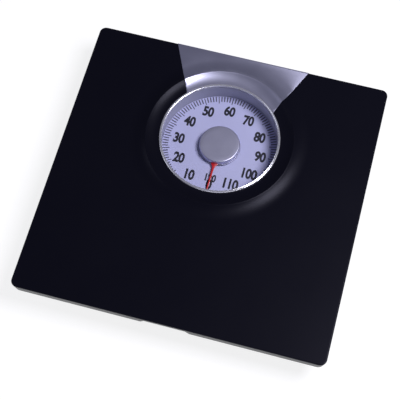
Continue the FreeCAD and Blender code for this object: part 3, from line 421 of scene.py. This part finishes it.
grain = Finish("grained_black_abs", (0.0038, 0.0038, 0.0078), 0.31, specular=0.08)
grain.shader.inputs["Specular Tint"].default_value = (0.80, 0.80, 1.0, 1)
spot = grain.place()
grain.vary(spot, 0.06, (0.0035, 0.0035, 0.0074), (0.0041, 0.0041, 0.0082), 0.28, 0.34)
pores = grain.noise(spot, 0.0011, 2.0)
scuffs = grain.noise(grain.place(scale=(1, 7, 1), turn=0.5), 0.004, 4.0)
grain.bump(pores * 0.8 + scuffs * 0.2, 0.00002)
cover = piece(cover_skin(), "cover_shell", grain, "platform")
thicken(cover, cover_wall)
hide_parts("platform_cover")

# ------------------------------------------------------------------ trim panel
# A fan of 0.5 mm sheet in satin silver behind the dial. It follows the swell down to the
# bright ring and wraps over the back edge, stuck to the cover all over.

trim_sheet = 0.0005
trim_front_half = 0.0470
trim_back_half = 0.0729
trim_front = 0.0427
trim_wrap_gap = 0.002
trim_edge_round = 0.00012
sheet_share = 0.96              # keeps the sheet's back just clear of the cover


def trim_skin():
    """The cover's skin between the two side lines of the fan, lifted by the sheet."""
    mesh = cover_skin()
    slope = (trim_back_half - trim_front_half) / (half_depth - dial_y - trim_front)
    for side in (-1, 1):
        bmesh.ops.bisect_plane(mesh, geom=mesh.verts[:] + mesh.edges[:] + mesh.faces[:],
                               plane_co=(side * trim_back_half, half_depth, 0),
                               plane_no=(side, -slope, 0), clear_outer=True, dist=1e-7)
    whole = mesh.verts[:] + mesh.edges[:] + mesh.faces[:]
    bmesh.ops.bisect_plane(mesh, geom=whole, plane_co=(0, dial_y + 0.03, 0),
                           plane_no=(0, -1, 0), clear_outer=True, dist=1e-7)
    whole = mesh.verts[:] + mesh.edges[:] + mesh.faces[:]
    bmesh.ops.bisect_plane(mesh, geom=whole, plane_co=(0, 0, cover_low.z + trim_wrap_gap),
                           plane_no=(0, 0, -1), clear_outer=True, dist=1e-7)
    centre = Vector((dial_x, dial_y))
    seat = [face for face in mesh.faces
            if (face.calc_center_median().xy - centre).length < ring_radius]
    bmesh.ops.delete(mesh, geom=seat, context="FACES")
    mesh.normal_update()
    moves = [(vert, vert.normal * trim_sheet) for vert in mesh.verts]
    for vert, move in moves:
        vert.co += move
    return mesh


satin = Finish("satin_silver_sheet", (0.42, 0.42, 0.58), 0.33, metallic=0.86)
spot = satin.place()
satin.vary(spot, 0.02, (0.40, 0.40, 0.55), (0.45, 0.45, 0.61), 0.31, 0.36)
satin.bump(satin.noise(spot, 0.0007), 0.000006)
trim = piece(trim_skin(), "trim_sheet", satin, "platform")
thicken(trim, trim_sheet * sheet_share, trim_edge_round)
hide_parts("trim_panel")

# ------------------------------------------------------------------ dial well
# A tapered tube moulded in grey ABS that hangs under the cover and closes the gap down to
# the dial. Its flange is screwed to the cover from below.

well_low, well_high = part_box("dial_well")
lens_low, lens_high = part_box("lens")
face_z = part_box("dial_plate")[1].z
well_top_radius = (lens_high.x - lens_low.x) / 2 - 0.0005
well_foot_radius = well_top_radius + 0.0014
well_wall = 0.0012
flange_radius = (well_high.x - well_low.x) / 2
flange_z = seat_z - cover_wall

grey = Finish("grey_well_plastic", (0.38, 0.385, 0.52), 0.34)
spot = grey.place()
grey.vary(spot, 0.02, (0.365, 0.37, 0.50), (0.40, 0.405, 0.54), 0.30, 0.38)
grey.bump(grey.noise(spot, 0.0008), 0.000008)
well = piece(turned([
    (well_top_radius, well_high.z), (well_foot_radius - 0.0001, well_low.z + 0.0004),
    (well_foot_radius + 0.0003, well_low.z), (well_foot_radius + well_wall, well_low.z),
    (opening_radius - 0.0001, flange_z - 0.0015), (flange_radius, flange_z - 0.0015),
    (flange_radius, flange_z), (opening_radius - 0.0001, flange_z),
    (opening_radius - 0.0001, well_high.z)]), "well_tube", grey, "platform")
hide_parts("dial_well")

# ------------------------------------------------------------------ dial
# A sheet steel disc, painted pale and printed in dark blue-black: a line for each
# kilogram, a longer one for each five, and a number for each ten, once round for 120.

plate_low, plate_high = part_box("dial_plate")
dial_radius = (plate_high.x - plate_low.x) / 2
paint = Finish("dial_paint", (0.46, 0.47, 0.74), 0.5)
spot = paint.place()
paint.vary(spot, 0.03, (0.45, 0.46, 0.725), (0.48, 0.49, 0.76), 0.45, 0.55)
paint.bump(paint.noise(spot, 0.0012), 0.000004)
bush_radius = 0.0041
plate = piece(turned([
    (bush_radius, plate_low.z), (bush_radius, face_z), (dial_radius - 0.0001, face_z),
    (dial_radius, face_z - 0.0001), (dial_radius, plate_low.z)]), "dial_disc", paint, "base")
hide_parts("dial_plate")

ink_height = 0.00003
divisions = 120
lines_outer = 0.0612


def dial_lines(steps, inner, outer, width):
    """Printed lines at the given divisions, as one mesh."""
    mesh = bmesh.new()
    for step in steps:
        turn = -math.pi / 2 - 2 * math.pi * step / divisions
        place = (Matrix.Translation((dial_x, dial_y, face_z + ink_height / 2))
                 @ Matrix.Rotation(turn, 4, "Z")
                 @ Matrix.Translation(((inner + outer) / 2, 0, 0))
                 @ Matrix.Diagonal((outer - inner, width, ink_height, 1)))
        bmesh.ops.create_cube(mesh, size=1.0, matrix=place)
    return mesh


grey_ink = Finish("grey_ink", (0.075, 0.075, 0.13), 0.5)
spot = grey_ink.place()
grey_ink.vary(spot, 0.001, (0.065, 0.065, 0.115), (0.09, 0.09, 0.15), 0.45, 0.6)
dark_ink = Finish("dark_ink", (0.006, 0.006, 0.018), 0.5)
spot = dark_ink.place()
dark_ink.vary(spot, 0.001, (0.005, 0.005, 0.014), (0.009, 0.009, 0.024), 0.45, 0.6)
single = [step for step in range(divisions) if step % 5]
fives = range(0, divisions, 5)
for name, steps, inner, outer, width, ink in (
        ("kilogram_lines", single, 0.0550, lines_outer, 0.00135, grey_ink),
        ("five_kilogram_lines", fives, 0.0530, lines_outer, 0.00085, dark_ink)):
    printed = piece(dial_lines(steps, inner, outer, width), name, ink, "base")


number_ring = 0.0446
number_height = 0.0122
number_narrowing = 0.78


def number(text, reach, height, turn):
    """A printed number, upright, centred at a radius and clockwise turn from the front."""
    curve = bpy.data.curves.new("number_" + text, "FONT")
    curve.body = text
    curve.align_x = "CENTER"
    curve.align_y = "CENTER"
    curve.size = 1.0
    curve.space_character = 0.96
    curve.offset = 0.020
    curve.bevel_depth = 0.024
    curve.bevel_resolution = 0
    curve.extrude = 0.5
    shape = bpy.data.objects.new(curve.name, curve)
    bpy.context.scene.collection.objects.link(shape)
    bpy.context.view_layer.update()
    data = bpy.data.meshes.new_from_object(shape)
    bpy.data.objects.remove(shape)
    high = max(vert.co.y for vert in data.vertices)
    low = min(vert.co.y for vert in data.vertices)
    left = min(vert.co.x for vert in data.vertices)
    right = max(vert.co.x for vert in data.vertices)
    tall = height / (high - low)
    wide = tall * number_narrowing
    x = dial_x - reach * math.sin(turn)
    y = dial_y - reach * math.cos(turn)
    data.transform(Matrix.Translation((x, y, face_z + ink_height / 2))
                   @ Matrix.Diagonal((wide, tall, ink_height, 1))
                   @ Matrix.Translation((-(left + right) / 2, -(low + high) / 2, 0)))
    return data


def numbers(name, rows):
    """All the numbers as one piece."""
    mesh = bmesh.new()
    for text, reach, height, turn in rows:
        data = number(text, reach, height, turn)
        mesh.from_mesh(data)
        bpy.data.meshes.remove(data)
    return piece(mesh, name, dark_ink, "base")


rows = [(str(value), number_ring, number_height, math.radians(3 * value))
        for value in range(0, divisions, 10)]
rows.append(("120", 0.0371, 0.0088, 0.0))
printed = numbers("dial_numbers", rows)

# ------------------------------------------------------------------ pointer
# A pressed steel pointer painted red, let into the hub disc. The disc and the hollow cap
# over it are spun aluminium with a satin finish; the cap's edge is rounded.

cap_low, cap_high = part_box("hub_cap")
disc_low, disc_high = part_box("hub_disc")
needle_low, needle_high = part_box("needle")
cap_radius = (cap_high.x - cap_low.x) / 2
disc_radius = (disc_high.x - disc_low.x) / 2
cap_wall = 0.0012
cap_round = 0.0014
hub_step = 0.0014
needle_reach = dial_y - needle_low.y

spun_metal = Finish("satin_cap", (0.46, 0.46, 0.62), 0.38, metallic=0.74)
spot = spun_metal.place((dial_x, dial_y, 0))
spun_metal.vary(spot, 0.012, (0.44, 0.44, 0.60), (0.49, 0.49, 0.65), 0.35, 0.41)
spun_metal.bump(spun_metal.noise(spot, 0.0005), 0.000004)
rounding = [(cap_radius - cap_round + cap_round * math.sin(math.pi / 2 * step / 6),
             cap_high.z - cap_round + cap_round * math.cos(math.pi / 2 * step / 6))
            for step in range(7)]
cap = piece(turned(
    [(0.0, cap_high.z), (cap_radius - 0.006, cap_high.z)] + rounding
    + [(cap_radius, cap_low.z), (cap_radius - cap_wall, cap_low.z),
       (cap_radius - cap_wall, cap_high.z - cap_wall), (0.0, cap_high.z - cap_wall)]),
    "cap_shell", spun_metal, "pointer")
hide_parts("hub_cap")
step_radius = cap_radius - hub_step
disc_top = disc_low.z + 0.0008
hub = piece(turned([
    (0.0015, disc_low.z), (disc_radius - 0.0002, disc_low.z), (disc_radius, disc_low.z + 0.0002),
    (disc_radius, disc_top - 0.0002), (disc_radius - 0.0002, disc_top),
    (step_radius, disc_top), (step_radius, disc_top + 0.0003), (0.0015, disc_top + 0.0003)]),
    "hub_plate", spun_metal, "pointer")
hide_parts("hub_disc")

enamel = Finish("red_enamel", (0.50, 0.006, 0.012), 0.35, coat=0.4)
spot = enamel.place()
enamel.vary(spot, 0.004, (0.46, 0.005, 0.010), (0.55, 0.008, 0.015), 0.3, 0.4)
blade = bmesh.new()
outline = [(0.0040, 0.0072), (0.0040, cap_radius), (0.0019, cap_radius + 0.0028),
           (0.00115, cap_radius + 0.0052), (0.0006, needle_reach)]
outline += [(-x, reach) for x, reach in reversed(outline)]
corners = [blade.verts.new((dial_x + x, dial_y - reach, needle_low.z)) for x, reach in outline]
base_face = blade.faces.new(corners)
lifted = bmesh.ops.extrude_face_region(blade, geom=[base_face])["geom"]
lifted = [item for item in lifted if isinstance(item, bmesh.types.BMVert)]
bmesh.ops.translate(blade, vec=(0, 0, needle_high.z - needle_low.z), verts=lifted)
bmesh.ops.recalc_face_normals(blade, faces=blade.faces)
bmesh.ops.bevel(blade, geom=blade.edges[:], offset=0.00015, segments=2, profile=0.5,
                affect="EDGES", material=-1)
blade = piece(blade, "needle_blade", enamel, "pointer")
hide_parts("needle")

# ------------------------------------------------------------------ bright ring
# A ring turned from brass and chromed, with a rounded crown and a thin inner lip that holds
# the clear lens. It is pressed into the cover's opening.

crown_z = ring_high.z
lip_radius = ring_radius - 0.0026
mirror_chrome = Finish("polished_chrome", (0.78, 0.78, 0.86), 0.22, metallic=0.8)
spot = mirror_chrome.place()
mirror_chrome.vary(spot, 0.01, (0.75, 0.75, 0.84), (0.82, 0.82, 0.9), 0.19, 0.26)
crown = 0.0008
outer_round = [(ring_radius - crown + crown * math.cos(math.pi / 2 * step / 6),
                crown_z - crown + crown * math.sin(math.pi / 2 * step / 6))
               for step in range(7)]
ring = piece(turned(
    [(ring_radius, seat_z)] + outer_round
    + [(lip_radius + 0.0011, crown_z - 0.00005), (lip_radius + 0.0008, crown_z - 0.0003),
       (lip_radius + 0.0007, crown_z - 0.0007), (lip_radius + 0.0004, crown_z - 0.0006),
       (lip_radius + 0.0001, crown_z - 0.0007), (lip_radius, crown_z - 0.0010),
       (lip_radius, lens_high.z), (opening_radius - 0.0009, lens_high.z),
       (opening_radius - 0.0009, ring_low.z), (opening_radius - 0.0001, ring_low.z),
       (opening_radius - 0.0001, seat_z)]), "chrome_ring", mirror_chrome, "platform")
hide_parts("bezel_ring")

# ------------------------------------------------------------------ lens
# A disc cut from clear acrylic sheet, 1.4 mm thick. It lies under the ring's lip, which keeps
# it in the cover's opening.

clear = Finish("clear_acrylic", (0.02, 0.02, 0.02), 0.04)
see_through = clear.node("BsdfTransparent")
shine = clear.node("Fresnel", None, {"IOR": 1.4})
mixed = clear.node("MixShader", None, {0: shine * 0.5, 1: see_through,
                                       2: Socket(clear.tree, clear.shader.outputs[0])})
clear.tree.links.new(mixed.out, clear.tree.nodes["Material Output"].inputs["Surface"])
lens_radius = (lens_high.x - lens_low.x) / 2
lens = piece(turned([
    (0.0, lens_low.z), (lens_radius, lens_low.z), (lens_radius, lens_high.z - 0.0001),
    (lens_radius - 0.0001, lens_high.z), (0.0, lens_high.z)]), "lens_disc", clear, "platform")
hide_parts("lens")

# ------------------------------------------------------------------ table
# A plain white table top, lit from within and larger than any view. It stands a little
# below the feet, so that the two faces never share a plane.

table_drop = 0.0002
floor_mesh = bmesh.new()
bmesh.ops.create_grid(floor_mesh, x_segments=1, y_segments=1, size=4.0)
bmesh.ops.translate(floor_mesh, vec=(0, 0, -table_drop), verts=floor_mesh.verts)
data = bpy.data.meshes.new("table_top")
floor_mesh.to_mesh(data)
floor_mesh.free()
table = bpy.data.objects.new("table_top", data)
bpy.context.scene.collection.objects.link(table)
white = Finish("white_table", (0.24, 0.24, 0.25), 0.9, specular=0.0)
white.shader.inputs["Emission Color"].default_value = (1.0, 1.0, 1.0, 1)
white.shader.inputs["Emission Strength"].default_value = 0.82
white.vary(white.place(), 0.3, (0.23, 0.23, 0.24), (0.25, 0.25, 0.26), 0.88, 0.92)
data.materials.append(white.material)
